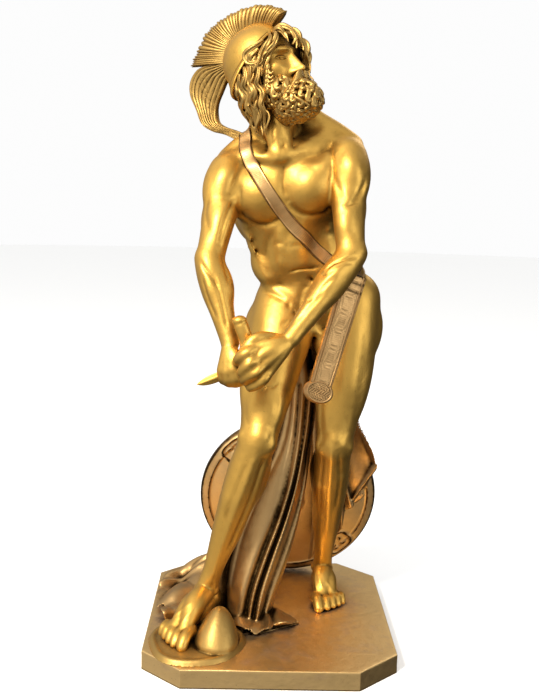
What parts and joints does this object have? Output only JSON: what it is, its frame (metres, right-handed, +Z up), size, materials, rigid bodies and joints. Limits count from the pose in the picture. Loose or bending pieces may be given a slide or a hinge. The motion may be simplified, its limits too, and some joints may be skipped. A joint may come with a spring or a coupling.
{
  "type": "bronze general statue",
  "caption": "Bronze statuette of a stooping helmeted general with crossed hands, cloak, scabbard and round shield on an eight-sided plinth.",
  "frame": {"origin": "middle of the plinth's underside", "axes": "+Z up through the figure, -Y towards the side that the knees and the hands are on, +X to a viewer's right"},
  "size_m": [0.312, 0.327, 0.8007],
  "materials": {
    "polished_bronze": "cast bronze, hand polished, golden on the high places and dark brown in the hollows",
    "worn_bronze": "cast bronze with a worn pinkish brown patina and small dark spots"
  },
  "bodies": {
    "root": {"plinth": "worn_bronze", "warrior": "polished_bronze", "shield": "polished_bronze", "scabbard": "worn_bronze"}
  },
  "joints": []
}
